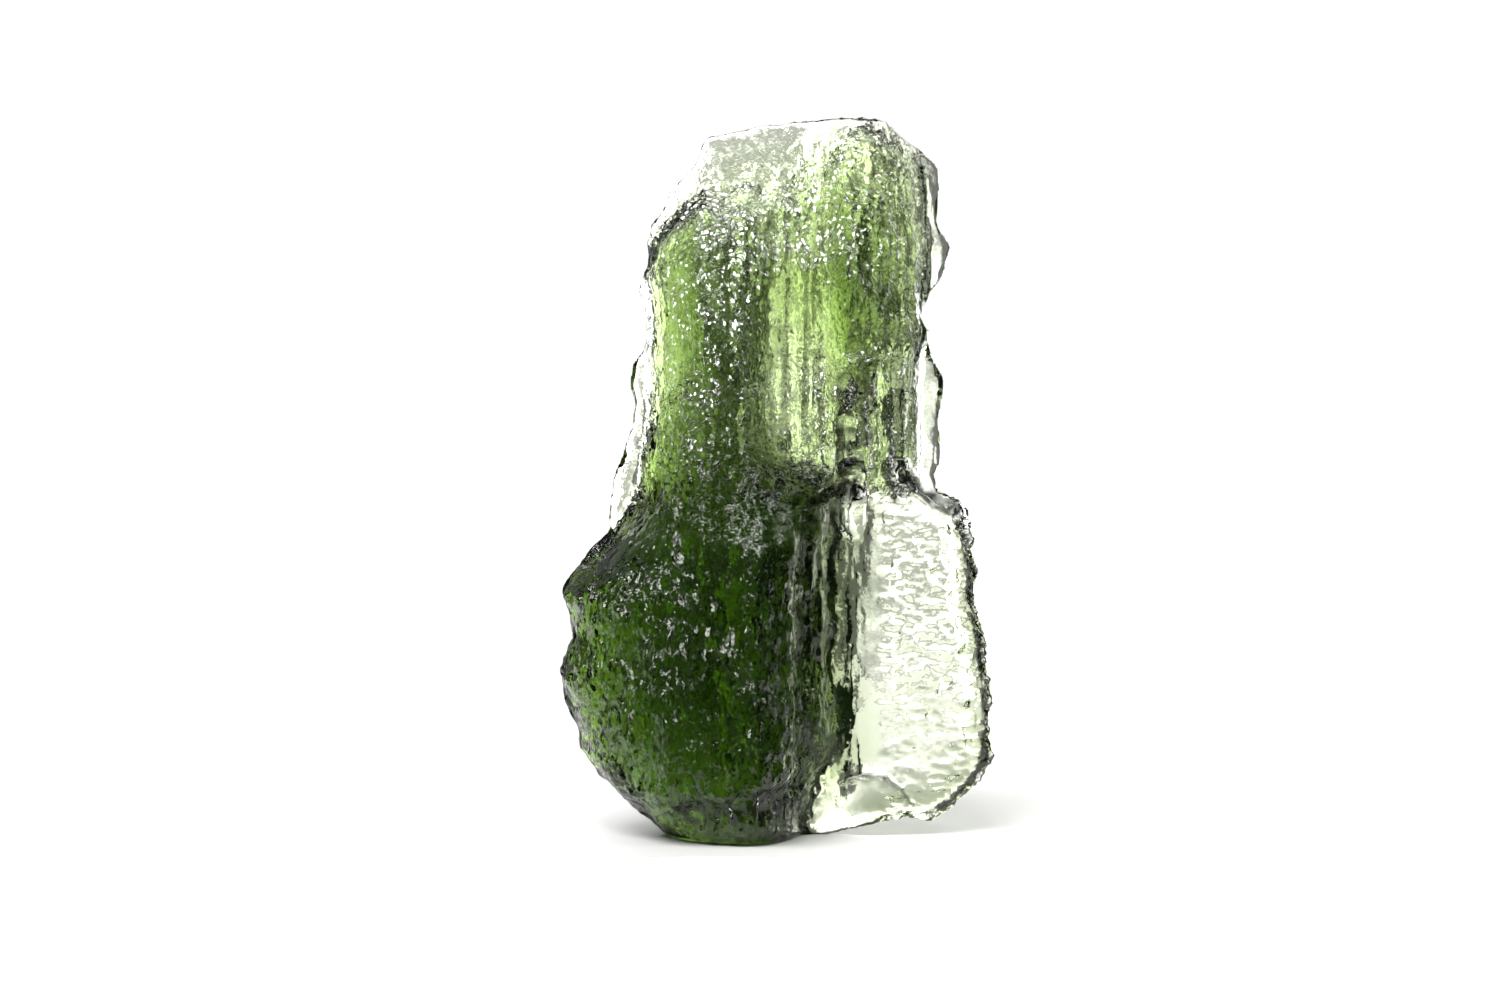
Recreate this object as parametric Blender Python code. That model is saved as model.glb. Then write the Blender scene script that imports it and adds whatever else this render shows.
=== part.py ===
"""A moldavite: one piece of natural green glass, standing on the small flat spot at its foot.

Metres, +Z up. The sculpted face looks along -Y, and the origin is on the surface it stands on,
under the middle of its bounding box.

The stone is a thin fin of glass with a thick core standing proud of it, front and back. The fin
shows past the core as a clear lobe at the lower right and as slivers along the upper edges. The
blank is cut from the outline and evened out by a voxel remesh. Its points are then pressed to the
front and back surfaces, which are worked out in millimetres from the features named below.
"""

from types import SimpleNamespace

import bmesh
import bpy
import numpy as np
from mathutils import Vector, noise

MM = 0.001

# Driving sizes of the stone, in millimetres.
RIM_THICKNESS = 0.42    # the outermost edge of the fin
FIN_THICKNESS = 0.60    # the fin away from its edge
EDGE_BEAD = 0.65        # how much thicker the clear lobe is along its edge
RIM_WIDTH = 0.75        # the steep band along the fin's edge
BROAD_FLUTE = 0.34      # how far the upright flutes stand out and in
NARROW_FLUTE = 0.24
RIPPLE = 0.13           # the shallow level ripples across the clear lobe
FRONT_RISE = 2.1        # the core's front above the fin, in its upper half
BELLY_RISE = 2.7        # how much further the belly stands out in front
BACK_RISE = 0.9         # the core's back behind the fin, in its upper half
BACK_BELLY_RISE = 3.2   # how much further it stands out low down
BELLY_TOP = (23.5, 18.4)   # where the belly starts to stand out, on the left and on the right
BELLY_RUN = (12.0, 4.8)    # the height over which it does so, on the left and on the right
BELLY_SIDES = (-5.0, 0.5)  # the x of those two
TOP_HEIGHT = 34.6       # where the core has run out into the top edge
TOP_TAPER = 8.0
LEFT_SHOULDER = 5.6     # width over which the core rounds up from its left edge
RIGHT_SHOULDER = 3.0    # the same on its steeper right side
BELLY_SHOULDER = 4.6    # the same on the right of the belly
CORE_WANDER = 0.4       # how far the edge of the core strays from its curve
TALUS_RISE = 1.0        # thickening of the fin along the foot of the core
TALUS_WIDTH = 2.4       # how far it reaches out over the clear lobe
ROOT_WIDTH = 0.7        # how far it reaches out elsewhere, where the fin meets the core abruptly
SOFT_TOP = (27.0, 31.0)  # the heights between which the core's left edge turns gentle
BARE_RELIEF = 0.12      # the share of the flutes that shows on the bare fin
TERRACE_RISE = 1.9      # the ledge beside the core at mid height, in front
TERRACE_BACK = 0.9      # the same behind
TERRACE_EDGE = 6.7      # the x where the ledge ends in a thin clear plate
TERRACE_LEVELS = (15.8, 23.6)  # the heights between which it runs
LOBE_START = 3.4        # the x from which the fin counts as the clear lobe
LOBE_TOP = 17.0         # the height it ends at
LOBE_BEAD_LINE = 0.65   # how far inside the outline its edge is thickest
EDGE_ZONE = 1.4         # the band along the outline in which all relief fades out
CORE_FLUTING = 1.5      # how far inside the core's edge the flutes reach their full depth
FACET_LINE = ((-0.4, 29.6), (-5.8, 26.2))   # lower edge of the facet at the upper left
FACET_SLOPE = 0.46      # how steeply that facet falls away from the line
NIBBLE = 0.16           # how far the fin's outer edge is etched in and out

# How finely the stone is meshed.
OUTLINE_STEP = 0.25
BLANK_HALF_DEPTH = 1.2
VOXEL = 0.33
TRIANGLES = 9200

# The outline seen from the front, clockwise, as (x, z) in millimetres.
TOP_EDGE = [(-3.5, 33.1), (-2.3, 33.4), (-0.9, 33.8), (0.1, 33.8), (1.7, 34.1), (3.5, 34.2),
            (5.0, 34.1), (5.8, 33.4), (6.8, 32.7), (7.5, 32.0)]
RIGHT_SLIVER = [(7.7, 31.4), (7.7, 30.3), (7.8, 29.0), (8.3, 27.9), (7.9, 26.7), (7.5, 25.7),
                (7.1, 25.1), (7.3, 24.0), (7.4, 22.9), (7.9, 21.9), (8.0, 21.4), (7.8, 20.7),
                (7.7, 18.9), (7.4, 16.9)]
RIGHT_LOBE = [(8.2, 16.3), (8.9, 16.1), (9.0, 15.3), (9.3, 14.5), (9.3, 13.7), (9.6, 12.8),
              (9.4, 11.8), (9.6, 10.4), (10.0, 9.4), (9.9, 8.6), (10.3, 7.0), (10.3, 6.0),
              (10.1, 4.9), (10.4, 4.1), (10.0, 2.9), (8.9, 1.8), (7.7, 0.8), (6.9, 0.7),
              (6.1, 0.9)]
FOOT = [(4.7, 0.5), (3.3, 0.2), (1.9, -0.2), (0.5, -0.9), (-2.0, -0.95), (-4.2, -0.7),
        (-5.2, -0.1)]
LEFT_BELLY = [(-6.5, 0.9), (-7.8, 2.0), (-9.0, 3.4), (-9.5, 4.4), (-9.9, 5.8), (-10.3, 6.6),
              (-10.4, 8.0), (-10.0, 9.2), (-9.8, 9.9), (-10.1, 10.9), (-10.2, 11.7),
              (-10.0, 12.4)]
LEFT_FIN = [(-9.0, 13.6), (-8.1, 14.4), (-8.1, 15.2), (-7.9, 16.5), (-7.4, 18.1), (-6.9, 19.9),
            (-6.9, 20.8), (-7.0, 22.1), (-6.4, 23.5), (-6.4, 25.3), (-6.6, 26.0), (-6.2, 27.4),
            (-6.2, 28.4), (-5.2, 30.2), (-4.4, 31.4), (-3.7, 32.2)]

# The edge of the thick core, clockwise from its top left.
CORE_TOP = [(-2.6, 31.5), (-0.8, 31.9), (0.9, 32.6), (2.8, 33.5), (4.9, 33.6)]
CORE_RIGHT = [(6.1, 32.3), (6.6, 30.3), (6.9, 28.4), (6.6, 27.4), (6.9, 25.6), (7.1, 24.0),
              (6.2, 23.4), (4.9, 23.0), (3.6, 22.4), (3.2, 20.8), (2.7, 18.4), (3.0, 16.1),
              (2.4, 13.2), (2.6, 10.4), (2.3, 8.4), (2.5, 6.2), (2.4, 4.2), (2.1, 2.5),
              (1.5, 1.3), (0.9, 0.2)]
CORE_FOOT = [(0.4, -0.8), (-2.0, -0.9), (-4.2, -0.65), (-5.2, 0.0)]
CORE_LEFT = [(-6.4, 1.0), (-7.7, 2.1), (-8.9, 3.5), (-9.4, 4.5), (-9.8, 5.8), (-10.2, 6.7),
             (-10.3, 8.0), (-9.9, 9.2), (-9.7, 9.9), (-10.0, 10.9), (-10.1, 11.7), (-9.8, 12.4),
             (-8.6, 13.3), (-7.5, 14.2), (-6.8, 15.4), (-6.2, 17.0), (-5.8, 18.9), (-5.7, 20.8),
             (-5.8, 23.2), (-5.9, 25.6), (-5.9, 27.6), (-5.2, 29.2), (-4.0, 30.7)]

# Where the fin's middle lies, as soft steps: the x and z where a step starts, the run in x and in z
# over which it grows (negative towards -X or down), and how far it goes back (or forward, if < 0).
FIN_STEPS = {
    "left_fin": (-3.8, 12.0, -3.2, 3.5, 1.5),
    "right_sliver": (4.6, 23.0, 2.4, 3.0, 1.2),
    "lobe": (2.5, 17.5, 2.0, -2.5, -0.6),
    "lobe_edge": (5.0, 16.0, 5.0, -4.0, 0.5),
}

# Lumps and hollows of the front: x, z, half width, half height, rise.
FRONT_LUMPS = {
    "left_ridge": (-3.4, 22.0, 1.4, 5.5, 1.2),
    "right_swell": (3.4, 27.2, 1.7, 3.6, 1.0),
    "right_knob": (5.8, 28.0, 0.8, 1.1, 0.8),
    "brow": (1.5, 30.3, 4.2, 0.8, 0.45),
    "left_cheek": (-7.9, 10.6, 1.2, 1.4, 0.5),
    "low_boss": (-5.3, 2.6, 2.0, 1.3, 0.4),
    "left_bay": (-8.0, 6.4, 1.2, 2.6, -0.7),
    "belly_ridge": (-1.0, 9.0, 1.0, 4.6, 0.45),
    "belly_hollow": (-3.6, 11.8, 1.3, 2.0, -0.5),
}

# Channels of the front: x, z of the top and of the bottom end, half width, depth.
FRONT_CHANNELS = {
    "trough": (0.7, 30.2, 1.0, 18.9, 2.1, 2.1),
    "trough_deep": (0.1, 24.5, 0.4, 18.4, 0.9, 0.4),
    "rib_furrow": (-5.0, 24.0, -5.1, 16.4, 0.4, 0.35),
    "upper_right_furrow": (5.6, 29.6, 5.5, 25.2, 0.5, 0.45),
    "belly_crease": (-6.7, 12.6, -6.1, 3.6, 0.6, 0.5),
    "belly_middle_crease": (-3.0, 8.6, -2.7, 3.0, 0.5, 0.4),
    "belly_right_crease": (1.2, 14.2, 1.4, 4.6, 0.55, 0.5),
    "left_flute": (-8.9, 9.0, -8.6, 3.8, 0.5, 0.5),
    "terrace_flute": (3.1, 22.0, 3.6, 15.0, 0.55, 1.3),
    "terrace_flute_middle": (4.8, 22.4, 4.8, 17.2, 0.4, 0.5),
    "terrace_flute_right": (6.1, 22.8, 6.2, 17.2, 0.5, 0.8),
    "flank_flute": (3.8, 15.2, 3.6, 5.0, 0.4, 0.45),
    "flank_flute_outer": (4.8, 14.0, 4.6, 6.4, 0.35, 0.3),
}

# Cup-shaped pits and chips of the front: x, z, half width, half height, depth.
FRONT_PITS = {
    "cheek_pit": (-8.8, 11.2, 0.6, 0.7, 0.5),
    "low_chip": (2.3, 1.2, 1.6, 1.2, 0.9),
    "lobe_window": (5.2, 1.6, 2.2, 1.4, 0.25),
    "shoulder_chip": (4.8, 31.6, 1.3, 0.9, 0.6),
    "brow_chip": (-1.7, 30.6, 1.7, 1.0, 0.7),
    "left_shell": (-6.8, 3.8, 1.3, 1.1, 0.5),
    "knob_pit": (6.1, 26.0, 0.5, 0.7, 0.5),
}

# Broad hollows and lumps of the back, which the front shows only as light and dark.
BACK_LUMPS = {
    "back_left_ridge": (-3.6, 22.5, 1.2, 5.0, 0.4),
    "back_hollow": (3.6, 28.6, 1.8, 2.2, -0.6),
    "back_waist": (0.0, 16.4, 3.6, 1.2, -0.7),
    "back_bay": (-7.4, 6.0, 1.6, 2.2, -0.9),
    "back_ridge": (1.2, 24.5, 0.8, 5.0, 0.3),
    "back_low_ridge": (-4.6, 7.5, 1.0, 4.4, 0.5),
}

# Channels of the back, as on the front.
BACK_CHANNELS = {
    "back_furrow": (-1.2, 29.0, -1.6, 18.0, 0.9, 0.7),
    "back_right_furrow": (5.3, 28.0, 5.0, 18.0, 0.8, 0.7),
    "back_belly_crease": (-1.6, 13.6, -2.2, 3.4, 0.8, 0.7),
    "back_left_crease": (-6.0, 12.0, -6.4, 4.4, 0.6, 0.6),
    "back_right_crease": (1.4, 12.0, 1.0, 4.0, 0.5, 0.5),
}


def smooth_loop(points):
    """A closed Catmull-Rom curve through the points, as evenly spaced (x, z) rows."""
    corners = np.array(points, float)
    rows = []
    for i in range(len(corners)):
        before, start, end, after = (corners[(i + k) % len(corners)] for k in (-1, 0, 1, 2))
        count = max(2, round(np.linalg.norm(end - start) / OUTLINE_STEP))
        t = (np.arange(count) / count)[:, None]
        bend = (2 * before - 5 * start + 4 * end - after) * t ** 2
        twist = (3 * start - before - 3 * end + after) * t ** 3
        rows.append(0.5 * (2 * start + (end - before) * t + bend + twist))
    return np.concatenate(rows)


def depth_inside(loop, flat):
    """How far each (x, z) row lies inside a loop, negative outside it."""
    start, end = loop, np.roll(loop, -1, axis=0)
    along = end - start
    offset = flat[:, None, :] - start[None, :, :]
    share = np.clip((offset * along).sum(2) / (along ** 2).sum(1), 0, 1)
    gap = np.linalg.norm(offset - share[..., None] * along, axis=2).min(axis=1)
    level = flat[:, None, 1]
    crosses = (start[:, 1] > level) != (end[:, 1] > level)
    rise = np.where(along[:, 1] == 0, 1.0, along[:, 1])
    meets = start[:, 0] + (level - start[:, 1]) / rise * along[:, 0]
    inside = (crosses & (flat[:, None, 0] < meets)).sum(axis=1) % 2 == 1
    return np.where(inside, gap, -gap)


def ease(share):
    """A smooth step from 0 to 1."""
    t = np.clip(share, 0, 1)
    return t * t * (3 - 2 * t)


def dome(depth, width):
    """A blunt shoulder: 0 at the edge, 1 from this width inwards."""
    t = np.clip(depth / width, 0, 1)
    return np.sqrt(1 - (1 - t) ** 2)


def swell(height, spread, places):
    """A soft bulge around one height."""
    return np.exp(-((places - height) / spread) ** 2)


def lumps(table, flat):
    """The sum of soft lumps, and of hollows where the rise is negative."""
    total = np.zeros(len(flat))
    for x, z, half_width, half_height, rise in table.values():
        total += rise * swell(x, half_width, flat[:, 0]) * swell(z, half_height, flat[:, 1])
    return total


def channels(table, flat):
    """The depth of long flat-bottomed channels, deepest at their rounded lower end."""
    total = np.zeros(len(flat))
    for x_top, z_top, x_low, z_low, half_width, depth in table.values():
        top, low = np.array([x_top, z_top]), np.array([x_low, z_low])
        run = low - top
        share = np.clip(((flat - top) @ run) / (run @ run), 0, 1)
        gap = np.linalg.norm(flat - top - share[:, None] * run, axis=1)
        deepening = 0.45 + 0.55 * ease(share * 1.4)
        total += depth * deepening * (1 - ease((gap / half_width - 0.35) / 0.85))
    return total


def pits(table, flat):
    """The depth of cup-shaped pits with a crisp lip."""
    total = np.zeros(len(flat))
    for x, z, half_width, half_height, depth in table.values():
        reach = np.hypot((flat[:, 0] - x) / half_width, (flat[:, 1] - z) / half_height)
        total += depth * np.sqrt(np.clip(1 - reach ** 2, 0, 1))
    return total


def etching(flat, width, height, layer):
    """Smooth noise from -1 to 1, stretched to this grain width and height."""
    return np.array([noise.noise(Vector((x / width, z / height, layer))) for x, z in flat])


def flutes(flat, layer):
    """The upright etched flutes that run over the whole stone: sharp ridges, round furrows."""
    broad = 1 - 2 * np.abs(etching(flat, 1.5, 6.0, layer))
    narrow = 1 - 2 * np.abs(etching(flat, 0.8, 3.0, layer + 5))
    return BROAD_FLUTE * broad + NARROW_FLUTE * narrow


def fin_middle(flat):
    """How far back the middle of the fin lies."""
    total = np.zeros(len(flat))
    for x, z, x_run, z_run, setback in FIN_STEPS.values():
        total += setback * ease((flat[:, 0] - x) / x_run) * ease((flat[:, 1] - z) / z_run)
    return total


def beyond(line, flat):
    """How far each row lies above and to the left of a line that runs down to the left."""
    start, end = np.array(line)
    along = (end - start) / np.linalg.norm(end - start)
    offset = flat - start
    return np.maximum(offset[:, 1] * -along[0] + offset[:, 0] * along[1], 0)


def zones(flat, rim, core):
    """Where each feature of the stone holds sway at each (x, z) row, as shares from 0 to 1.

    rim and core are how far each row lies inside the outline and inside the core's edge.
    """
    x, z = flat.T
    near_edge = ease(rim / EDGE_ZONE)
    over_lobe = ease((x + 1.0) / 2.0) * ease((17.5 - z) / 2.0)
    talus_width = ROOT_WIDTH + (TALUS_WIDTH - ROOT_WIDTH) * over_lobe
    gentle = ease((z - SOFT_TOP[0]) / (SOFT_TOP[1] - SOFT_TOP[0])) * ease((4.5 - x) / 4)
    talus = near_edge * ease(1 + np.minimum(core, 0) / talus_width) * (1 - 0.8 * gentle)
    terrace = ease((x - 2.4) / 0.8) * ease((z - TERRACE_LEVELS[0]) / 2.0)
    terrace *= ease((TERRACE_LEVELS[1] - z) / 0.9)
    terrace *= ease((TERRACE_EDGE - x) / 0.7) * ease(rim / 1.3)
    below = (np.interp(x, BELLY_SIDES, BELLY_TOP) - z) / np.interp(x, BELLY_SIDES, BELLY_RUN)
    core_cover = ease(np.maximum(core, 0) / CORE_FLUTING)
    return SimpleNamespace(
        near_edge=near_edge,
        gentle=gentle,
        talus=talus,
        terrace=terrace,
        lobe=ease((x - LOBE_START) / 1.2) * ease((LOBE_TOP - z) / 1.5),
        top=ease((TOP_HEIGHT - z) / TOP_TAPER),
        belly=ease(below) * (0.5 + 0.5 * ease((z + 1) / 6)),
        covered=np.maximum(np.maximum(core_cover, terrace), 0.5 * talus),
    )


def shoulder_width(flat):
    """How wide the core's rounded edge is at each (x, z) row."""
    x, z = flat.T
    width = np.interp(x, [-7, -2, 0], [LEFT_SHOULDER, RIGHT_SHOULDER, BELLY_SHOULDER])
    return width + (RIGHT_SHOULDER - width) * ease((z - 11) / 4)


def fin_thickness(rim, zone):
    """The fin on its own: thin at its rim, with a bead along the lobe and a foot to the core."""
    fin = RIM_THICKNESS + (FIN_THICKNESS - RIM_THICKNESS) * ease(rim / RIM_WIDTH)
    return fin + TALUS_RISE * zone.talus + EDGE_BEAD * zone.lobe * swell(LOBE_BEAD_LINE, 0.4, rim)


def front_rise(flat, inside, relief, zone):
    """How far the front stands out from the fin."""
    shoulder = dome(inside, shoulder_width(flat)) ** (1 + zone.gentle)
    facet = beyond(FACET_LINE, flat) * ease(0.7 - flat[:, 0] / 2)
    rise = shoulder * zone.top * (FRONT_RISE + BELLY_RISE * zone.belly - FACET_SLOPE * facet)
    rise += shoulder * ease(zone.top * 2) * lumps(FRONT_LUMPS, flat)
    rise += TERRACE_RISE * zone.terrace * (1 - ease(inside / 1.0))
    carved = channels(FRONT_CHANNELS, flat) + pits(FRONT_PITS, flat)
    rise -= carved * zone.near_edge * (0.3 + 0.7 * zone.covered) * ease(zone.top * 1.6)
    return rise + relief * (flutes(flat, 1.0) + 0.3 * etching(flat, 3.2, 3.2, 9.0))


def back_rise(flat, inside, relief, zone):
    """How far the back stands out from the fin."""
    shoulder = dome(inside, shoulder_width(flat) * 1.3) ** (1 + zone.gentle)
    rise = shoulder * zone.top * (BACK_RISE + BACK_BELLY_RISE * zone.belly)
    rise += shoulder * ease(zone.top * 2) * lumps(BACK_LUMPS, flat)
    rise += TERRACE_BACK * zone.terrace * (1 - ease(inside / 1.0))
    rise -= channels(BACK_CHANNELS, flat) * zone.near_edge * zone.covered * ease(zone.top * 1.6)
    return rise + relief * (flutes(flat, 21.0) + 0.35 * etching(flat, 2.6, 3.4, 29.0))


def surfaces(flat, rim, core, back_core):
    """The y of the front and of the back at each (x, z) row.

    rim is how far each row lies inside the outline. core and back_core are how far it lies inside
    the core's edge in front and behind.
    """
    zone = zones(flat, rim, core)
    inside = np.maximum(core, 0)
    relief = zone.near_edge * (BARE_RELIEF + (1 - BARE_RELIEF) * zone.covered)
    ripples = RIPPLE * zone.near_edge * zone.lobe * etching(flat, 2.6, 0.6, 61.0)
    middle = fin_middle(flat) * (1 - 0.7 * ease(inside / 3.0))
    half_fin = fin_thickness(rim, zone) / 2
    front = middle - half_fin - front_rise(flat, inside, relief, zone) - ripples
    back = middle + half_fin + back_rise(flat, np.maximum(back_core, 0), relief, zone)
    return front, np.maximum(back, front + RIM_THICKNESS)


def blank(outline):
    """An even-skinned slab with the stone's outline, its front at -Y."""
    mesh = bmesh.new()
    ring = [mesh.verts.new((x, -BLANK_HALF_DEPTH, z)) for x, z in outline]
    face = mesh.faces.new(ring)
    grown = bmesh.ops.extrude_face_region(mesh, geom=[face])["geom"]
    moved = [item for item in grown if isinstance(item, bmesh.types.BMVert)]
    bmesh.ops.translate(mesh, verts=moved, vec=(0, 2 * BLANK_HALF_DEPTH, 0))
    bmesh.ops.recalc_face_normals(mesh, faces=mesh.faces)
    slab = bpy.data.objects.new("slab", bpy.data.meshes.new("slab"))
    mesh.to_mesh(slab.data)
    mesh.free()
    return evened(slab, "REMESH", mode="VOXEL", voxel_size=VOXEL)


def evened(obj, kind, **settings):
    """The mesh of an object after one modifier. The object itself is removed."""
    bpy.context.scene.collection.objects.link(obj)
    modifier = obj.modifiers.new(kind.title(), kind)
    for name, value in settings.items():
        setattr(modifier, name, value)
    bpy.context.view_layer.update()
    graph = bpy.context.evaluated_depsgraph_get()
    made = bpy.data.meshes.new_from_object(obj.evaluated_get(graph))
    bpy.data.objects.remove(obj)
    return made


def core_depth(core_edge, flat, layer):
    """How far each row lies inside the core's edge, which strays a little from its curve."""
    strayed = flat.copy()
    strayed[:, 0] += CORE_WANDER * etching(flat, 1.6, 4.5, layer)
    strayed[:, 0] += CORE_WANDER / 3 * etching(flat, 1.2, 1.4, layer + 4)
    return depth_inside(core_edge, strayed)


def sculpted(mesh, outline, core_edge):
    """Presses the slab's points to the front and back surfaces and roughens its rim."""
    points = np.empty(len(mesh.vertices) * 3, np.float32)
    mesh.vertices.foreach_get("co", points)
    points = points.reshape(-1, 3).astype(float)
    flat = points[:, [0, 2]]
    side = np.clip(points[:, 1] / BLANK_HALF_DEPTH, -1, 1)
    rim = np.maximum(depth_inside(outline, flat), 0)
    core = core_depth(core_edge, flat, 53.0)
    back_core = core_depth(core_edge, flat, 73.0)
    front, back = surfaces(flat, rim, core, back_core)
    points[:, 1] = front + (back - front) * (side + 1) / 2
    nibble = NIBBLE * (1 - ease(rim / 1.0))
    points[:, 0] += nibble * etching(flat, 0.9, 0.9, 41.0)
    points[:, 2] += nibble * etching(flat, 0.9, 0.9, 47.0)
    mesh.vertices.foreach_set("co", points.astype(np.float32).ravel())
    mesh.update()
    return mesh


def thinned(mesh):
    """The same stone with its steep walls evened and fewer triangles, kept where it bends most."""
    stone = bpy.data.objects.new("jagged", mesh)
    mesh = evened(stone, "SMOOTH", factor=0.5, iterations=2, use_x=False, use_z=False)
    stone = bpy.data.objects.new("fine", mesh)
    ratio = TRIANGLES / (2 * len(mesh.polygons))
    return evened(stone, "DECIMATE", ratio=ratio, use_collapse_triangulate=True)


def footed(mesh):
    """Cuts the rounded foot off flat at z = 0, which is the spot the stone stands on."""
    work = bmesh.new()
    work.from_mesh(mesh)
    everything = work.verts[:] + work.edges[:] + work.faces[:]
    cut = bmesh.ops.bisect_plane(work, geom=everything, plane_co=(0, 0, 0),
                                 plane_no=(0, 0, -1), clear_outer=True)
    rim = [item for item in cut["geom_cut"] if isinstance(item, bmesh.types.BMEdge)]
    bmesh.ops.contextual_create(work, geom=rim)
    bmesh.ops.triangulate(work, faces=work.faces)
    bmesh.ops.recalc_face_normals(work, faces=work.faces)
    work.to_mesh(mesh)
    work.free()
    return mesh


def centred(mesh):
    """Moves the stone over the origin and scales it from millimetres to metres."""
    corners = np.array([vertex.co for vertex in mesh.vertices])
    middle = (corners.min(axis=0) + corners.max(axis=0)) / 2
    for vertex in mesh.vertices:
        x, y, z = vertex.co
        vertex.co = ((x - middle[0]) * MM, (y - middle[1]) * MM, z * MM)
    return mesh


def green_glass():
    """Moldavite: see-through bottle-green glass with an etched, faintly rough skin."""
    material = bpy.data.materials.new("moldavite_glass")
    material.use_nodes = True
    shader = material.node_tree.nodes["Principled BSDF"]
    shader.inputs["Base Color"].default_value = (0.20, 0.33, 0.09, 1)
    shader.inputs["Roughness"].default_value = 0.12
    shader.inputs["Metallic"].default_value = 0.0
    shader.inputs["IOR"].default_value = 1.49
    shader.inputs["Transmission Weight"].default_value = 0.6
    return material


def main():
    for obj in list(bpy.data.objects):
        bpy.data.objects.remove(obj)
    outline = smooth_loop(TOP_EDGE + RIGHT_SLIVER + RIGHT_LOBE + FOOT + LEFT_BELLY + LEFT_FIN)
    core_edge = smooth_loop(CORE_TOP + CORE_RIGHT + CORE_FOOT + CORE_LEFT)
    mesh = sculpted(blank(outline), outline, core_edge)
    mesh = centred(footed(thinned(mesh)))
    mesh.name = "moldavite"
    mesh.materials.append(green_glass())
    stone = bpy.data.objects.new("moldavite", mesh)
    bpy.context.scene.collection.objects.link(stone)
    mesh.shade_smooth()


main()
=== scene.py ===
"""The looks of the moldavite: clear green natural glass, etched all over, in bright studio light.

Lengths are millimetres where a name or comment says so, and metres as everywhere in Blender
otherwise. The stone's carved face looks along -Y.
"""

import math
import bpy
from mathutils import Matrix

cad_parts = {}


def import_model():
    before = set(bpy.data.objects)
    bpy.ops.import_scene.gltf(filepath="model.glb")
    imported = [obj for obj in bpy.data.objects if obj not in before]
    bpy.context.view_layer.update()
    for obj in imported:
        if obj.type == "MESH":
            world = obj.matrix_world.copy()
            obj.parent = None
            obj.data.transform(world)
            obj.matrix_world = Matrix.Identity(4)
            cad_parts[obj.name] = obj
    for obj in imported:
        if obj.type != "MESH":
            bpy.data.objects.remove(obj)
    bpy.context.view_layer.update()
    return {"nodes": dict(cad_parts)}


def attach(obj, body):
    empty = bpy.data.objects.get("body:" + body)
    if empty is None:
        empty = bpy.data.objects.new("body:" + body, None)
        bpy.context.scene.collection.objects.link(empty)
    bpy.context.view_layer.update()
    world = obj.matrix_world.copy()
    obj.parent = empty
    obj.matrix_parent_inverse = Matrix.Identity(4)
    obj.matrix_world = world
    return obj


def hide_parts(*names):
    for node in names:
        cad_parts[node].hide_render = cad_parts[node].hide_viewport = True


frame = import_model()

from types import SimpleNamespace

import bpy
import numpy as np
from mathutils import Vector, noise

MM = 0.001

# The photograph: where the middle of its frame falls on the stone, and how it was taken.
VIEW_CENTRE = (-1.26 * MM, 0.0, 16.06 * MM)
VIEW_ELEVATION = 4.5
VIEW_DISTANCE = 198 * MM
NEAREST_SEEN = 5 * MM
LENS = 100

# The white board it stands on, which ends a little in front of the stone.
BOARD_WIDTH = 160 * MM
BOARD_DEPTH = 58 * MM
BOARD_FRONT = -6.4 * MM
BOARD_COLOUR = "#F2F2F0"
BOARD_ROUGHNESS = 0.6

# The burnt-out white all round, which the camera sees, and what is left of the light in the gaps
# between the cards, which the stone sees.
BACKGROUND_BRIGHTNESS = 1.05
ROOM_BRIGHTNESS = 0.02
LIGHT_COLOUR = "#FFFFFF"

# The studio's white cards: degrees round from straight behind the stone (right is positive) and
# half width, degrees up and half height, brightness, and softness of the sides and of the ends.
CARDS = {
    "backdrop": (0, 12, 24, 26, 1.5, 3, 8),
    "sweep": (0, 13, -30, 45, 0.6, 3, 3),
    "low_back": (0, 13, -24, 10, 0.9, 3, 3),
    "back_right": (29, 16, 5, 40, 4.2, 3, 3),
    "low_right": (20, 12, -28, 14, 2.2, 3, 3),
    "back_left": (-29, 16, 5, 40, 0.2, 3, 3),
    "overhead": (0, 180, 84, 14, 1.5, 4, 4),
    "front_left": (-150, 32, 54, 11, 14.0, 3, 3),
    "front_right": (140, 12, 52, 7, 10.0, 3, 3),
    "front_wall": (180, 50, 8, 22, 0.1, 6, 6),
}

# Cards that only light coming through the stone sees, so that the stone is also lit from in front
# for a viewer behind or beside it, without a veil of reflections on its face.
THROUGH_CARDS = {
    "glow_right": (125, 42, 8, 45, 1.8, 6, 8),
    "glow_left": (-125, 42, 8, 45, 1.2, 6, 8),
    "glow_front": (180, 13, 4, 45, 2.4, 4, 8),
}

# How finely the skin is meshed for etching, in millimetres, and what it is thinned to afterwards.
SKIN_VOXEL = 0.118
SKIN_TRIANGLES = 196000

# Borders between the parts of the skin: where each lies (x for a left or right one, z for a foot
# or a top) and over what distance one part turns into the next, in millimetres.
SOLE_TOP = (0.05, 0.5)
BELLY_RIGHT = (2.4, 0.6)
BELLY_TOP = (15.5, 4)
CHEEK_RIGHT = (-3.0, 2)
CHEEK_TOP = (15, 2)
FLANK_LEFT = (2.2, 0.6)
FLANK_RIGHT = (5.6, 1.2)
FLANK_TOP = (17, 1.5)
LOBE_LEFT = (4.6, 0.8)
LOBE_TOP = (16.4, 1.2)
TERRACE_LEFT = (2.5, 0.6)
TERRACE_FOOT = (13.5, 2)
TERRACE_TOP = (23.4, 0.8)
UPPER_FOOT = (13, 4)
CROWN_FOOT = (30, 2.5)
FROST_FOOT = (13.5, 4)
FROST_RIGHT = (6.6, 0.6)
GLITTER_FOOT = (17, 5)
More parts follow.
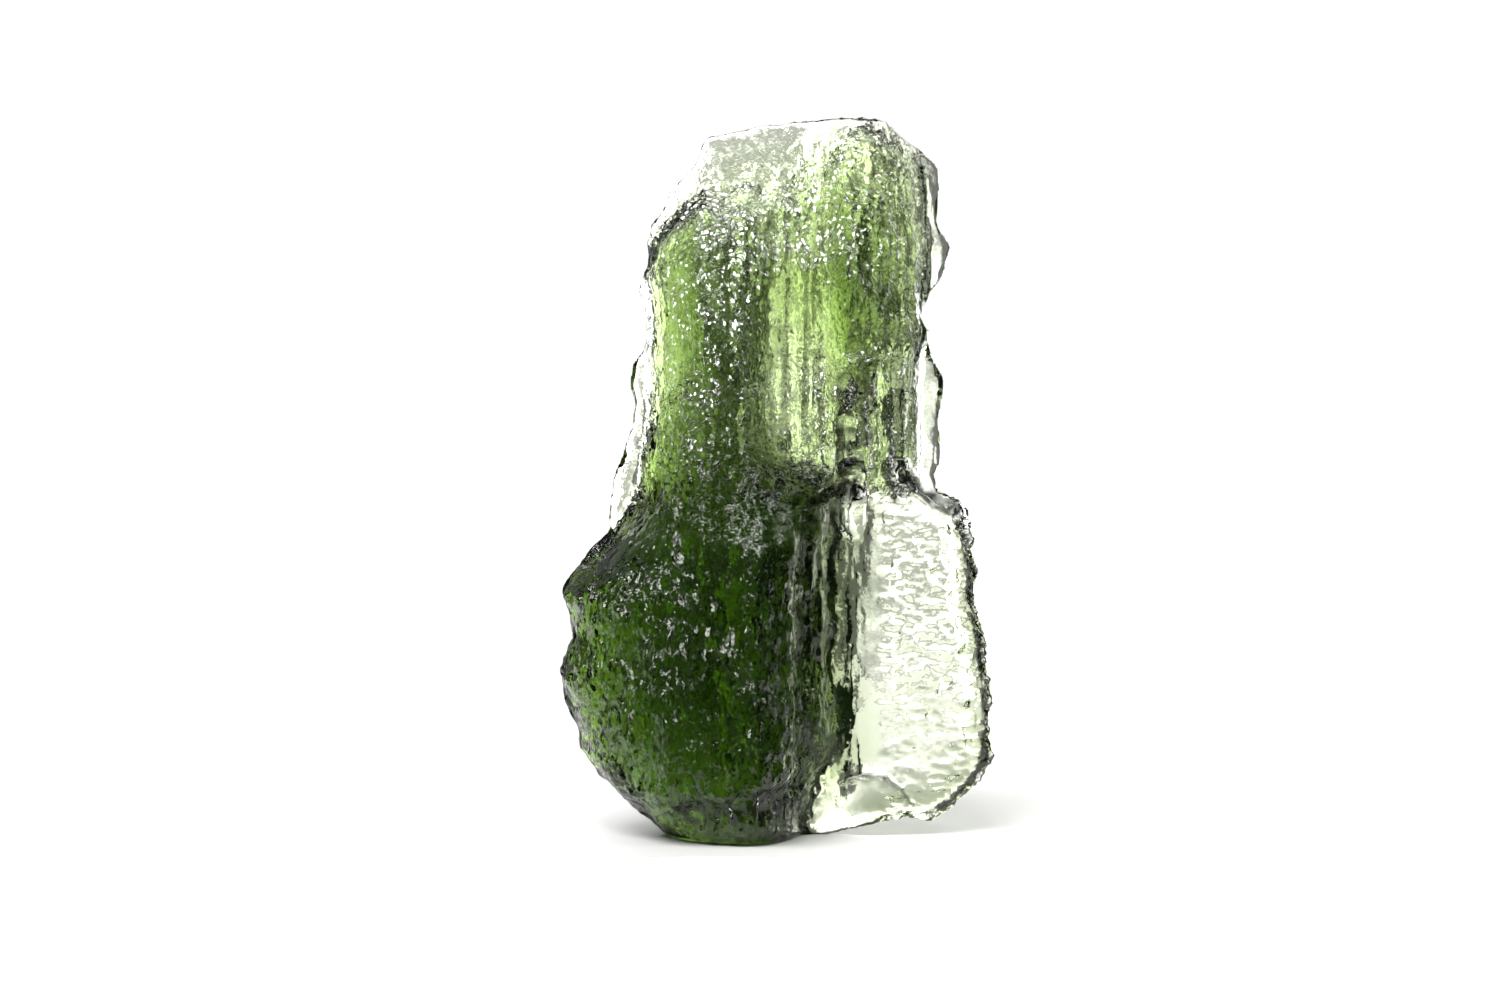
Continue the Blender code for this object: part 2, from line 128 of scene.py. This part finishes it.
GLITTER_RIGHT = (2.2, 1.2)
LEFT_EDGE = (-4, 2)
FACET_RIGHT = (1.5, 2)

# The lower edge of the frosted facet at the upper left (x and z), and how the facet starts there.
FACET_LINE = ((-0.4, 29.6), (-5.8, 26.2))
FACET_EDGE = (-0.5, 1)

# The thinnest glass that takes each treatment, and how much more lets it act in full, in
# millimetres, so that no relief cuts through a fin.
STURDY_GLASS = (0.7, 1.6)
LOBE_GLASS = (0.2, 0.5)
FLANK_GLASS = (0.4, 0.8)
TERRACE_GLASS = (0.6, 1.2)
FACET_GLASS = (1.2, 1)

# How far a slope has to look forwards, or upwards, to count, as parts of its unit normal.
FORWARDS = (0.15, 0.4)
UPWARDS = (-0.35, 0.5)

# The size of the patches in which the skin is rougher or smoother, and of those in which the
# painted shade in the clefts is kept, in millimetres.
PATCH_SIZE = 1.6
PAINTED_SHADE_PATCH_SIZE = 0.5

# How much of the skin glints: a little everywhere, and more at the left edge, in the upper half
# and on the terrace.
GLINTS_EVERYWHERE = 0.03
GLINTS_AT_LEFT = 0.1
GLINTS_HIGH_UP = 0.9
GLINTS_ON_TERRACE = 0.3

# Clefts in the carved face: depth, width, how dark the painted shade in them is (0 to 1),
# and the line they follow (x and z). Lengths are in millimetres.
CLEFTS = {
    "black_cleft": (0.55, 1.0, 0.9, [(2.95, 21.8), (3.2, 18.9), (3.55, 17.3), (3.6, 16.2)]),
    "thin_cleft": (0.4, 0.35, 0.7, [(3.85, 21.9), (3.95, 19.0)]),
    "short_cleft": (0.4, 0.35, 0.6, [(4.4, 22.2), (4.35, 20.4)]),
    "teal_cleft": (0.6, 0.5, 0.6, [(5.9, 21.0), (5.85, 17.8), (6.4, 16.8)]),
    "shoulder_cleft": (0.5, 1.2, 0.92, [(6.1, 17.4), (7.5, 16.2), (8.7, 15.7), (10.0, 13.4)]),
    "first_groove": (0.22, 0.5, 0.0, [(-0.1, 30.2), (0.0, 27.5), (-0.15, 24.5), (0.05, 21.0)]),
    "second_groove": (0.22, 0.45, 0.0, [(0.55, 29.4), (0.7, 26.0), (0.6, 22.5), (0.75, 18.6)]),
    "third_groove": (0.24, 0.5, 0.0, [(1.45, 29.6), (1.35, 27.0), (1.5, 23.0), (1.35, 19.4)]),
    "fourth_groove": (0.2, 0.4, 0.0, [(2.1, 29.0), (2.25, 26.0), (2.1, 23.0), (2.2, 20.2)]),
    "trough_lip": (0.6, 0.6, 0.7, [(-0.4, 17.2), (0.4, 16.6), (1.6, 16.3), (3.2, 16.6)]),
    "scoop_lip": (0.3, 0.35, 0.6, [(3.1, 2.6), (4.0, 2.95), (5.1, 2.9), (5.9, 2.3), (6.5, 1.6)]),
    "lobe_crease": (0.06, 0.4, 0.1, [(5.7, 16.6), (5.5, 14.6), (5.7, 12.2), (5.5, 10.6), (5.4, 7.0)]),
    "lobe_chamfer": (0.2, 1.5, 0.95, [(9.3, 14.6), (9.3, 13.7), (9.6, 12.6), (9.5, 11.6), (9.8, 10.2),
                                       (10.0, 9.0), (10.3, 7.0), (10.3, 5.6), (10.2, 4.2),
                                       (9.9, 2.9), (8.9, 1.8), (7.7, 0.9)]),
    "upper_scar": (0.1, 0.2, 0.5, [(8.2, 7.0), (9.0, 7.8), (9.7, 8.5)]),
    "edge_scar": (0.1, 0.2, 0.5, [(9.7, 7.6), (9.4, 6.3), (9.5, 5.2)]),
    "core_edge_cleft": (0.5, 2.0, 0.6, [(1.7, 15.2), (1.7, 11.0), (1.6, 6.0), (1.6, 2.6)]),
    "foot_hollow": (0.35, 2.4, 0.8, [(-4.0, 1.5), (-1.5, 1.8), (1.2, 2.4)]),
}

# The reliefs that the acid soil etched: sharp ridges, nets of cell walls, and soft waves.
RIDGES = {"noise_type": "HARD_NOISE", "noise_depth": 1}
CELL_WALLS = {"noise_basis": "VORONOI_F2_F1"}
WAVES = {"noise_depth": 1}
BROKEN_WAVES = {"noise_depth": 2}

# The etched skin, in the order it is cut: where a relief acts, its depth, its grain across, from
# front to back and upright, and its kind. Lengths are in millimetres.
ETCHES = (
    ("upper", 0.40, (0.9, 1.2, 5.0), RIDGES),
    ("upper", 0.26, (0.45, 0.7, 2.4), CELL_WALLS),
    ("terrace", 0.50, (0.6, 0.8, 4.5), RIDGES),
    ("flank", 0.10, (0.4, 0.6, 1.6), RIDGES),
    ("belly", 0.60, (1.6, 1.6, 2.2), RIDGES),
    ("belly", 0.45, (0.6, 0.6, 0.9), CELL_WALLS),
    ("cheek", 0.34, (0.4, 0.6, 1.0), RIDGES),
    ("lobe", 0.26, (1.5, 1.0, 0.7), BROKEN_WAVES),
    ("lobe", 0.22, (0.6, 0.5, 0.32), RIDGES),
    ("grain", 0.22, (0.3, 0.3, 0.42), WAVES),
)

# The glass. Its tint and density together take 35% of the red light, 28% of the green and 48% of
# the blue in each millimetre. The dark colour in the clefts is painted shade.
GLASS_INDEX = 1.49
GLASS_ROUGHNESS = 0.03
GLASS_TINT = "#ADC35D"
GLASS_DENSITY = 740
CLEAN = "#FFFFFF"
# The near-black colour painted into the clefts, the lobe's rim and the foot hollow as shade.
PAINTED_SHADE_COLOUR = "#0B0E08"

# The coat that stands for the finest glinting facets.
GLINT_INDEX = 3.8
GLINT_ROUGHNESS = 0.2

# The small facets of the skin: width in millimetres, how far they lean, and how many times taller
# than wide they are. They and the pits are drawn coarser than the real ones, which are too fine
# for the render to show.
FACETS = (0.2, 1.05, 1)
FLECKS = (0.24, 0.8, 2)
GLINTS = (0.13, 1.3, 1)

# Pits and upright flutes finer than the mesh: width and depth in millimetres. The flutes' pattern
# is squeezed upright, which draws it out along the stone.
PIT_WIDTH = 0.15
PIT_DEPTH = 0.14
FLUTE_WIDTH = 0.45
FLUTE_DEPTH = 0.12
FLUTE_SQUEEZE = 0.07


def linear(hex_colour):
    """An sRGB hex colour as linear red, green, blue and alpha."""
    channels = [int(hex_colour[i:i + 2], 16) / 255 for i in (1, 3, 5)]
    return [c / 12.92 if c <= 0.04045 else ((c + 0.055) / 1.055) ** 2.4 for c in channels] + [1.0]


def node(tree, kind, sockets=None, **settings):
    """Adds a shader node with its settings. Sockets are linked to another's output or set."""
    made = tree.nodes.new(kind)
    for name, value in settings.items():
        setattr(made, name, value)
    for name, value in (sockets or {}).items():
        if isinstance(value, bpy.types.NodeSocket):
            tree.links.new(value, made.inputs[name])
        else:
            made.inputs[name].default_value = value
    return made


def only(obj):
    """Makes one object the active and only selected one."""
    bpy.ops.object.select_all(action="DESELECT")
    obj.select_set(True)
    bpy.context.view_layer.objects.active = obj


def modified(obj, kind, **settings):
    """Adds a modifier and applies it at once."""
    only(obj)
    modifier = obj.modifiers.new(kind.title(), kind)
    for name, value in settings.items():
        setattr(modifier, name, value)
    bpy.ops.object.modifier_apply(modifier=modifier.name)


def rough_stone():
    """A copy of the CAD stone with its loose triangles merged and its facets evened out."""
    stone = frame["nodes"]["moldavite"].copy()
    stone.data = stone.data.copy()
    stone.name = "glass_stone"
    stone.data.name = "glass_stone"
    bpy.context.scene.collection.objects.link(stone)
    stone.parent = None
    only(stone)
    bpy.ops.object.mode_set(mode="EDIT")
    bpy.ops.mesh.select_all(action="SELECT")
    bpy.ops.mesh.remove_doubles(threshold=0.001 * MM)
    bpy.ops.object.mode_set(mode="OBJECT")
    modified(stone, "REMESH", mode="VOXEL", voxel_size=SKIN_VOXEL * MM, use_smooth_shade=True)
    modified(stone, "SMOOTH", factor=0.5, iterations=3)
    return stone


def places(stone):
    """Each point of the stone in millimetres, and the way its surface faces."""
    points = np.empty(len(stone.data.vertices) * 3, np.float32)
    stone.data.vertices.foreach_get("co", points)
    normals = np.empty_like(points)
    stone.data.vertices.foreach_get("normal", normals)
    return points.reshape(-1, 3) / MM, normals.reshape(-1, 3)


def thickness(stone, points, normals):
    """How thick the glass is under each point, in millimetres, measured straight inwards."""
    just_inside = 0.02 * MM
    depths = np.empty(len(points))
    for i, (point, normal) in enumerate(zip(points, normals)):
        inwards = Vector(normal) * -1
        start = Vector(point) * MM + inwards * just_inside
        hit, place, _, _ = stone.ray_cast(start, inwards)
        depths[i] = (place - start).length / MM if hit else 0
    return depths


def ease(share):
    """A smooth step from 0 to 1."""
    t = np.clip(share, 0, 1)
    return t * t * (3 - 2 * t)


def past(values, border):
    """0 up to a border, easing to 1 beyond it."""
    start, run = border
    return ease((values - start) / run)


def short_of(values, border):
    """0 beyond a border, easing to 1 before it."""
    end, run = border
    return ease((end - values) / run)


def speckle(points, grain):
    """Smooth noise from -1 to 1 over the stone, with this grain in millimetres."""
    return np.array([noise.noise(Vector(point) / grain) for point in points])


def along(points, path, width):
    """1 on a path over the stone's face (x and z in millimetres), easing to 0 at half its width."""
    flat = points[:, [0, 2]]
    near = np.full(len(flat), np.inf)
    for start, end in zip(path[:-1], path[1:]):
        run = np.subtract(end, start)
        share = np.clip((flat - start) @ run / (run @ run), 0, 1)
        near = np.minimum(near, np.linalg.norm(flat - start - share[:, None] * run, axis=1))
    return ease(1 - 2 * near / width)


def above(points, line):
    """How far each point lies above and to the left of a line that runs down to the left."""
    start, end = np.array(line)
    run = (end - start) / np.linalg.norm(end - start)
    offset = points[:, [0, 2]] - start
    return offset[:, 0] * run[1] - offset[:, 1] * run[0]


def surveyed(stone):
    """What the skin is like at each point, and how far the point is in each part (0 to 1)."""
    points, normals = places(stone)
    x, _, z = points.T
    thick = thickness(stone, points, normals)
    foot_free = past(z, SOLE_TOP)
    return SimpleNamespace(
        points=points, x=x, z=z, thick=thick,
        front=past(-normals[:, 1], FORWARDS),
        facing_up=0.25 + 0.75 * past(normals[:, 2], UPWARDS),
        foot_free=foot_free,
        sturdy=past(thick, STURDY_GLASS) * foot_free,
        lobe=past(x, LOBE_LEFT) * short_of(z, LOBE_TOP),
        flank=past(x, FLANK_LEFT) * short_of(x, FLANK_RIGHT) * short_of(z, FLANK_TOP),
        terrace=past(x, TERRACE_LEFT) * past(z, TERRACE_FOOT) * short_of(z, TERRACE_TOP),
        belly=short_of(z, BELLY_TOP) * (1 - past(x, BELLY_RIGHT)),
        facet=past(above(points, FACET_LINE), FACET_EDGE) * short_of(x, FACET_RIGHT),
        frosty=past(z, FROST_FOOT) * (1 - past(x, FROST_RIGHT)),
        patchy=0.55 + 0.45 * ease(0.5 + 1.6 * speckle(points, PATCH_SIZE)),
    )


def zone(stone, name, weights):
    """A vertex group that says, in fiftieths, how strongly a relief acts at each point."""
    group = stone.vertex_groups.new(name=name)
    steps = np.round(np.clip(weights, 0, 1) * 50).astype(int)
    for step in np.unique(steps[steps > 0]):
        group.add(np.flatnonzero(steps == step).tolist(), step / 50, "REPLACE")
    return name


def calm_lobe(stone, skin):
    """Evens out the front of the lobe, and half as much the flank beside it."""
    weights = skin.front * np.maximum(skin.lobe, 0.5 * skin.flank)
    modified(stone, "SMOOTH", factor=0.5, iterations=40,
             vertex_group=zone(stone, "lobe_skin", weights))


def carve_clefts(stone, skin):
    """Cuts the clefts into the carved face, and gives the painted shade that darkens them."""
    painted_shade = np.zeros(len(skin.points))
    for name, (depth, width, dark, path) in CLEFTS.items():
        inside = skin.front * along(skin.points, path, width)
        modified(stone, "DISPLACE", strength=-depth * MM, mid_level=0,
                 vertex_group=zone(stone, name, inside))
        # Painted shade: the base colour darkens inside the clefts, along the lobe's rim and in the
        # foot hollow.
        painted_shade = np.maximum(painted_shade, dark * ease(3 * inside - 0.7))
    return painted_shade * ease(0.9 + 1.5 * speckle(skin.points, PAINTED_SHADE_PATCH_SIZE))


def mark_zones(stone, skin):
    """Marks where each relief acts: less on the crown and the facet, and never on the sole."""
    calm = (1 - 0.6 * past(skin.z, CROWN_FOOT)) * (1 - 0.8 * skin.facet)
    cheek = skin.front * short_of(skin.x, CHEEK_RIGHT) * short_of(skin.z, CHEEK_TOP)
    zone(stone, "upper", skin.sturdy * past(skin.z, UPPER_FOOT) * calm)
    zone(stone, "belly", skin.sturdy * skin.belly * 0.4)
    zone(stone, "cheek", skin.sturdy * cheek)
    zone(stone, "terrace", skin.foot_free * skin.terrace * past(skin.thick, TERRACE_GLASS))
    zone(stone, "flank", skin.foot_free * skin.flank * past(skin.thick, FLANK_GLASS))
    zone(stone, "lobe", skin.foot_free * skin.lobe * past(skin.thick, LOBE_GLASS))
    zone(stone, "grain", skin.sturdy * (0.3 + 0.7 * skin.frosty) * skin.patchy)


def etch(stone, group, depth, grain, look):
    """Displaces a zone of the skin by a procedural texture."""
    texture = bpy.data.textures.new("etch_" + group, "CLOUDS")
    texture.noise_scale = 1
    for name, value in look.items():
        setattr(texture, name, value)
    ruler = bpy.data.objects.new("etch_ruler", None)
    ruler.scale = [size * MM for size in grain]
    bpy.context.scene.collection.objects.link(ruler)
    bpy.context.view_layer.update()
    modified(stone, "DISPLACE", texture=texture, texture_coords="OBJECT",
             texture_coords_object=ruler, strength=depth * MM, mid_level=0.5,
             vertex_group=group)
    bpy.data.objects.remove(ruler)


def glints(skin):
    """How strongly the skin glints: most on the upturned slopes of the upper half."""
    high_up = GLINTS_HIGH_UP * past(skin.z, GLITTER_FOOT) * (1 - 0.5 * past(skin.x, GLITTER_RIGHT))
    share = GLINTS_EVERYWHERE + GLINTS_AT_LEFT * short_of(skin.x, LEFT_EDGE) + high_up
    everywhere = skin.sturdy * skin.facing_up * share * skin.patchy
    on_facet = skin.facet * past(skin.thick, FACET_GLASS)
    on_terrace = GLINTS_ON_TERRACE * skin.terrace * skin.sturdy
    return np.maximum(np.maximum(everywhere, on_facet), on_terrace)


def record(stone, name, values):
    """Keeps a value for each point of the skin, which the material reads."""
    attribute = stone.data.attributes.new(name, "FLOAT", "POINT")
    attribute.data.foreach_set("value", values.astype(np.float32))


def record_skin(stone, skin, painted_shade):
    """Keeps where the skin is frosted, flecked, fluted, shade-painted and glinting, less at the back.
    """
    rough = (0.35 + 0.65 * skin.frosty) * skin.patchy * (0.3 + 0.7 * skin.sturdy)
    record(stone, "frost", rough * (0.15 + 0.85 * skin.front))
    record(stone, "flecks", skin.belly * skin.sturdy * skin.front)
    record(stone, "fluted", skin.front * skin.sturdy * skin.frosty)
    # Painted shade in the clefts, kept for the material's base colour.
    record(stone, "painted_shade", 1 - (1 - painted_shade) ** 2)
    record(stone, "sparkle", glints(skin) * (1 - painted_shade) * (0.35 + 0.65 * skin.front))


def thinned(stone):
    """Brings the mesh down to the triangles that one piece may have."""
    count = sum(len(face.vertices) - 2 for face in stone.data.polygons)
    modified(stone, "DECIMATE", ratio=SKIN_TRIANGLES / count)


def etched_stone():
    """The finished stone: broad form from the CAD solid, etched relief from layered textures."""
    stone = rough_stone()
    skin = surveyed(stone)
    calm_lobe(stone, skin)
    painted_shade = carve_clefts(stone, skin)
    mark_zones(stone, skin)
    for group, depth, grain, look in ETCHES:
        etch(stone, group, depth, grain, look)
    record_skin(stone, skin, painted_shade)
    thinned(stone)
    stone.data.shade_smooth()
    return stone


def leaning(tree, place, start, facets, weight=None):
    """A direction that leans away from start at random in each small facet of the skin."""
    width, lean, tallness = facets
    drawn_out = node(tree, "ShaderNodeMapping", {"Vector": place, "Scale": (1, 1, 1 / tallness)})
    cells = node(tree, "ShaderNodeTexVoronoi", {"Vector": drawn_out.outputs["Vector"],
                                                "Scale": 1 / (width * MM)})
    centred = node(tree, "ShaderNodeVectorMath", {0: cells.outputs["Color"], 1: (0.5, 0.5, 0.5)},
                   operation="SUBTRACT")
    amount = lean
    if weight:
        amount = node(tree, "ShaderNodeMath", {0: weight, 1: lean},
                      operation="MULTIPLY").outputs["Value"]
    scaled = node(tree, "ShaderNodeVectorMath", {0: centred.outputs["Vector"], "Scale": amount},
                  operation="SCALE")
    tipped = node(tree, "ShaderNodeVectorMath", {0: start, 1: scaled.outputs["Vector"]},
                  operation="ADD")
    return node(tree, "ShaderNodeVectorMath", {0: tipped.outputs["Vector"]},
                operation="NORMALIZE").outputs["Vector"]


def etched_normal(tree, place, facing, frost, flecks, fluted):
    """The relief that is finer than the mesh: flecks, facets and pits, and flutes over them."""
    flecked = leaning(tree, place, facing, FLECKS, flecks)
    faceted = leaning(tree, place, flecked, FACETS, frost)
    pits = node(tree, "ShaderNodeTexNoise", {"Vector": place, "Scale": 1 / (PIT_WIDTH * MM),
                                             "Detail": 2, "Roughness": 0.5})
    pitted = node(tree, "ShaderNodeBump", {"Height": pits.outputs["Fac"], "Strength": frost,
                                           "Distance": PIT_DEPTH * MM, "Normal": faceted})
    drawn_out = node(tree, "ShaderNodeMapping", {"Vector": place, "Scale": (1, 1, FLUTE_SQUEEZE)})
    flutes = node(tree, "ShaderNodeTexNoise", {"Vector": drawn_out.outputs["Vector"],
                                               "Scale": 1 / (FLUTE_WIDTH * MM),
                                               "Detail": 3, "Roughness": 0.55},
                  noise_type="RIDGED_MULTIFRACTAL")
    skin = node(tree, "ShaderNodeBump", {"Height": flutes.outputs["Fac"], "Strength": fluted,
                                         "Distance": FLUTE_DEPTH * MM,
                                         "Normal": pitted.outputs["Normal"]})
    return skin.outputs["Normal"]


def moldavite_glass():
    """Moldavite: natural glass melted from silica-rich ground, with a low index of about 1.49.

    Its colour is in the depth and not on the skin, so plain absorption leaves the thin fins
    almost clear and turns the thick core bottle green. Acid soil etched the skin into glossy
    facets and pits that glint white where they lean to the light. A coat stands for the finest
    of them. Its index is far above the glass's, because few of the coarsely drawn facets lean
    just right, and each of those has to glint for many real ones.
    """
    material = bpy.data.materials.new("moldavite_natural_glass")
    material.use_nodes = True
    tree = material.node_tree
    shader = tree.nodes["Principled BSDF"]
    shader.inputs["IOR"].default_value = GLASS_INDEX
    shader.inputs["Transmission Weight"].default_value = 1.0
    shader.inputs["Roughness"].default_value = GLASS_ROUGHNESS
    shader.inputs["Coat IOR"].default_value = GLINT_INDEX
    shader.inputs["Coat Roughness"].default_value = GLINT_ROUGHNESS
    frost, flecks, fluted, painted_shade, sparkle = (
        node(tree, "ShaderNodeAttribute", attribute_name=name).outputs["Fac"]
        for name in ("frost", "flecks", "fluted", "painted_shade", "sparkle"))
    place = node(tree, "ShaderNodeTexCoord").outputs["Object"]
    facing = node(tree, "ShaderNodeNewGeometry").outputs["Normal"]
    # Painted shade: the base colour is mixed towards near-black where the clefts and hollows are
    # shaded.
    tint = node(tree, "ShaderNodeMix", {"Factor": painted_shade, "A": linear(CLEAN), "B": linear(PAINTED_SHADE_COLOUR)},
                data_type="RGBA")
    depth = node(tree, "ShaderNodeVolumeAbsorption", {"Color": linear(GLASS_TINT),
                                                      "Density": GLASS_DENSITY})
    skin = etched_normal(tree, place, facing, frost, flecks, fluted)
    tree.links.new(tint.outputs["Result"], shader.inputs["Base Color"])
    tree.links.new(skin, shader.inputs["Normal"])
    tree.links.new(sparkle, shader.inputs["Coat Weight"])
    tree.links.new(leaning(tree, place, facing, GLINTS), shader.inputs["Coat Normal"])
    tree.links.new(depth.outputs["Volume"], tree.nodes["Material Output"].inputs["Volume"])
    return material


def floor():
    """A plain pale floor."""
    bpy.ops.object.select_all(action="DESELECT")
    bpy.ops.mesh.primitive_plane_add(size=1, location=(0, BOARD_FRONT + BOARD_DEPTH / 2, 0))
    made = bpy.context.object
    made.name = "studio_floor"
    made.scale = (BOARD_WIDTH, BOARD_DEPTH, 1)
    bpy.ops.object.transform_apply(location=True, rotation=False, scale=True)
    paint = bpy.data.materials.new("matt_white_board")
    paint.use_nodes = True
    shader = paint.node_tree.nodes["Principled BSDF"]
    shader.inputs["Base Color"].default_value = linear(BOARD_COLOUR)
    shader.inputs["Roughness"].default_value = BOARD_ROUGHNESS
    made.data.materials.append(paint)


def band(tree, angle, centre, half_width, softness):
    """1 within half_width degrees of the centre angle, falling off softly."""
    turned = node(tree, "ShaderNodeMath", {0: angle, 1: math.radians(centre)},
                  operation="SUBTRACT")
    wrapped = node(tree, "ShaderNodeMath", {0: turned.outputs[0], 1: math.pi, 2: -math.pi},
                   operation="WRAP")
    away = node(tree, "ShaderNodeMath", {0: wrapped.outputs[0]}, operation="ABSOLUTE")
    edge = node(tree, "ShaderNodeMapRange", {"Value": away.outputs[0],
                                             "From Min": math.radians(half_width - softness),
                                             "From Max": math.radians(half_width + softness),
                                             "To Min": 1, "To Max": 0},
                interpolation_type="SMOOTHSTEP")
    return edge.outputs[0]


def lit(tree, azimuth, rise, cards, darkest):
    """The brightness of a set of cards in front of a wall of the darkest brightness."""
    total = node(tree, "ShaderNodeValue").outputs[0]
    total.default_value = darkest
    for around, half_width, up, half_height, strength, sides, ends in cards.values():
        both = node(tree, "ShaderNodeMath", {0: band(tree, azimuth, around, half_width, sides),
                                             1: band(tree, rise, up, half_height, ends)},
                    operation="MULTIPLY")
        total = node(tree, "ShaderNodeMath", {0: both.outputs[0], 1: strength, 2: total},
                     operation="MULTIPLY_ADD").outputs[0]
    return total


def studio():
    """Soft studio light from all round: white cards and dark gaps, placed by angle."""
    world = bpy.data.worlds.new("studio")
    bpy.context.scene.world = world
    world.use_nodes = True
    tree = world.node_tree
    tree.nodes.clear()
    direction = node(tree, "ShaderNodeTexCoord").outputs["Generated"]
    parts = node(tree, "ShaderNodeSeparateXYZ", {"Vector": direction})
    azimuth = node(tree, "ShaderNodeMath", {0: parts.outputs["X"], 1: parts.outputs["Y"]},
                   operation="ARCTAN2").outputs[0]
    rise = node(tree, "ShaderNodeMath", {0: parts.outputs["Z"]}, operation="ARCSINE").outputs[0]
    ray = node(tree, "ShaderNodeLightPath")
    total = node(tree, "ShaderNodeMath", {0: lit(tree, azimuth, rise, THROUGH_CARDS, 0),
                                          1: ray.outputs["Is Transmission Ray"],
                                          2: lit(tree, azimuth, rise, CARDS, ROOM_BRIGHTNESS)},
                 operation="MULTIPLY_ADD")
    lights = node(tree, "ShaderNodeBackground", {"Color": linear(LIGHT_COLOUR),
                                                 "Strength": total.outputs[0]})
    white = node(tree, "ShaderNodeBackground", {"Color": linear(LIGHT_COLOUR),
                                                "Strength": BACKGROUND_BRIGHTNESS})
    mixed = node(tree, "ShaderNodeMixShader", {0: ray.outputs["Is Camera Ray"],
                                               1: lights.outputs[0], 2: white.outputs[0]})
    node(tree, "ShaderNodeOutputWorld", {"Surface": mixed.outputs[0]})


def camera():
    """A long lens a little above the stone's middle, as in the photograph."""
    data = bpy.data.cameras.new("camera")
    data.lens = LENS
    data.clip_start = NEAREST_SEEN
    made = bpy.data.objects.new("camera", data)
    bpy.context.scene.collection.objects.link(made)
    angle = math.radians(VIEW_ELEVATION)
    away = Vector((0, -math.cos(angle), math.sin(angle))) * VIEW_DISTANCE
    made.location = Vector(VIEW_CENTRE) + away
    made.rotation_euler = (math.radians(90) - angle, 0, 0)
    bpy.context.scene.camera = made


camera()
studio()
floor()
stone = etched_stone()
stone.data.materials.clear()
stone.data.materials.append(moldavite_glass())
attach(stone, "root")
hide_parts("moldavite")
bpy.context.scene.view_settings.view_transform = "Standard"
